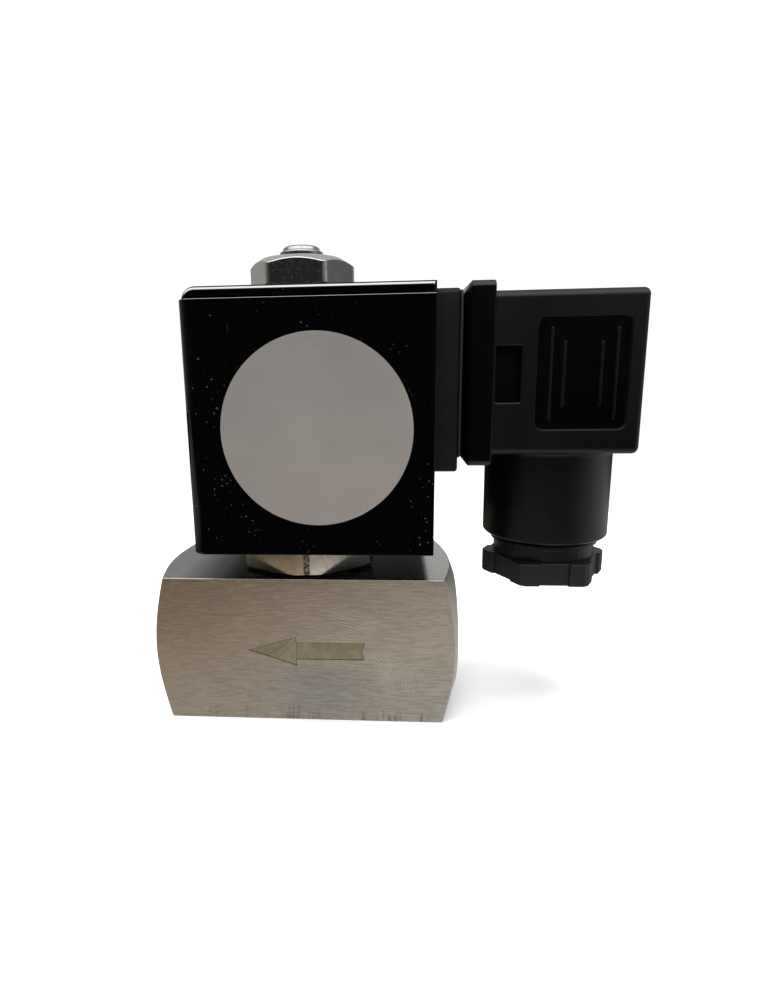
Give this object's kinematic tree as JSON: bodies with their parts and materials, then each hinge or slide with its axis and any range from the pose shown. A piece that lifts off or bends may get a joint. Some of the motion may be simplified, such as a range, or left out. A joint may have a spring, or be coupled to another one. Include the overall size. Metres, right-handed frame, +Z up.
{
  "type": "solenoid valve",
  "caption": "Direct-acting two-way solenoid valve: stainless bar body with threaded ports, boxed black coil on a guide tube, and a square cable plug with a screw gland",
  "frame": {"origin": "middle of the flat bottom face of the valve body, under the crossing of the port axis and the coil axis", "axes": "+X out of the inlet port, along the port axis and towards the cable plug; +Z up the guide tube; -Y is the front, with the label disc and the flow arrow"},
  "size_m": [0.0805, 0.0363, 0.0815],
  "materials": {
    "stainless_body": "brushed, slightly dull",
    "bright_nickel": "bright plated",
    "tube_steel": "turned",
    "copper": "bare copper",
    "black_enamel": "gloss black",
    "label_grey": "matte, plain",
    "coil_resin": "rough moulded",
    "bobbin_plastic": "moulded",
    "tinned_blade": "tinned",
    "brass": "turned",
    "zinc_screw": "zinc plated",
    "plug_black": "satin black",
    "insert_grey": "moulded",
    "rubber": "nitrile",
    "seat_rubber": "fluoro rubber"
  },
  "bodies": {
    "base": {"valve_body": "stainless_body", "tube_o_ring": "rubber", "hex_flange": "bright_nickel", "guide_tube": "tube_steel", "fixed_core": "tube_steel", "shading_ring": "copper"},
    "plunger": {"plunger": "tube_steel", "seat_seal": "seat_rubber", "plunger_spring": "tube_steel"},
    "coil": {"yoke_frame": "black_enamel", "coil_cover": "black_enamel", "label_disc": "label_grey", "coil_encapsulation": "coil_resin", "terminal_blade_1": "tinned_blade", "terminal_blade_2": "tinned_blade", "earth_blade": "tinned_blade", "screw_insert": "brass", "bobbin": "bobbin_plastic", "coil_winding": "copper"},
    "nut_carrier": {"nut_washer": "bright_nickel"},
    "coil_nut": {"coil_nut": "bright_nickel"},
    "connector": {"connector_housing": "plug_black", "flange_gasket": "rubber", "terminal_insert": "insert_grey", "contact_1": "brass", "contact_2": "brass", "contact_earth": "brass", "clamp_screw_1": "zinc_screw", "clamp_screw_2": "zinc_screw", "clamp_screw_earth": "zinc_screw", "gland_bush": "rubber"},
    "screw_carrier": {"screw_seal": "rubber"},
    "connector_screw": {"connector_screw": "zinc_screw"},
    "gland_carrier": {"gland_ring": "insert_grey"},
    "gland_nut": {"gland_nut": "plug_black"}
  },
  "joints": [
    {"name": "plunger_lift", "type": "slide", "parent": "base", "child": "plunger", "axis": [0, 0, 1], "range_m": [0, 0.002], "stiffness_N_per_m": 200, "springref_m": -0.012, "deforming": ["plunger_spring"]},
    {"name": "coil_swivel", "type": "hinge", "parent": "base", "child": "coil", "pos_m": [0, 0, 0.05315], "axis": [0, 0, 1], "continuous": true},
    {"name": "nut_rise", "type": "slide", "parent": "base", "child": "nut_carrier", "axis": [0, 0, 1], "range_m": [0, 0.0075]},
    {"name": "nut_turn", "type": "hinge", "parent": "nut_carrier", "child": "coil_nut", "pos_m": [0, 0, 0.07665], "axis": [0, 0, 1], "range_deg": [0, 2740]},
    {"name": "plug_pull", "type": "slide", "parent": "coil", "child": "connector", "axis": [1, 0, 0], "range_m": [0, 0.015]},
    {"name": "screw_rise", "type": "slide", "parent": "connector", "child": "screw_carrier", "axis": [1, 0, 0], "range_m": [0, 0.0055]},
    {"name": "screw_turn", "type": "hinge", "parent": "screw_carrier", "child": "connector_screw", "pos_m": [0.051, 0, 0.05975], "axis": [1, 0, 0], "range_deg": [0, 4000]},
    {"name": "gland_drop", "type": "slide", "parent": "connector", "child": "gland_carrier", "axis": [0, 0, -1], "range_m": [0, 0.006]},
    {"name": "gland_turn", "type": "hinge", "parent": "gland_carrier", "child": "gland_nut", "pos_m": [0.0429, 0, 0.02815], "axis": [0, 0, -1], "range_deg": [0, 1470]}
  ],
  "couplings": [
    {"joint": "nut_turn", "follows": "nut_rise", "rad_per_m": 6283.2},
    {"joint": "screw_turn", "follows": "screw_rise", "rad_per_m": 12566},
    {"joint": "gland_turn", "follows": "gland_drop", "rad_per_m": 4188.8}
  ]
}
